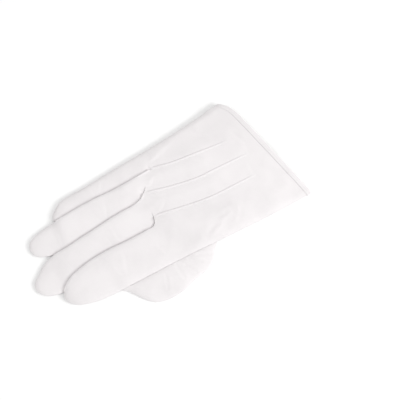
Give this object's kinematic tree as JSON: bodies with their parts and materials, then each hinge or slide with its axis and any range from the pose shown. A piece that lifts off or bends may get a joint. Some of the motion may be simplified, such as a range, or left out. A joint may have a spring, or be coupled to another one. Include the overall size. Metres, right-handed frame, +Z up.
{
  "type": "parade glove",
  "caption": "White cotton parade glove for the right hand, lying palm down, with raised points on the back, a vent at the wrist and an open snap",
  "frame": {"origin": "On the surface the glove lies on, under the middle of its box", "axes": "+X to the little finger's side, +Y along the fingers, away from the wrist, +Z up out of the back of the hand"},
  "size_m": [0.1314, 0.257, 0.0116],
  "materials": {
    "white_cotton": "matt cotton",
    "pearl_cap": "pearl gloss",
    "brass_stud": "polished"
  },
  "bodies": {
    "root": {"back_panel": "white_cotton", "palm_panel": "white_cotton", "thumb": "white_cotton", "fourchette_index_middle": "white_cotton", "fourchette_middle_ring": "white_cotton", "fourchette_ring_little": "white_cotton", "wrist_hem": "white_cotton", "snap_cap": "pearl_cap", "snap_stud": "brass_stud"}
  },
  "joints": []
}
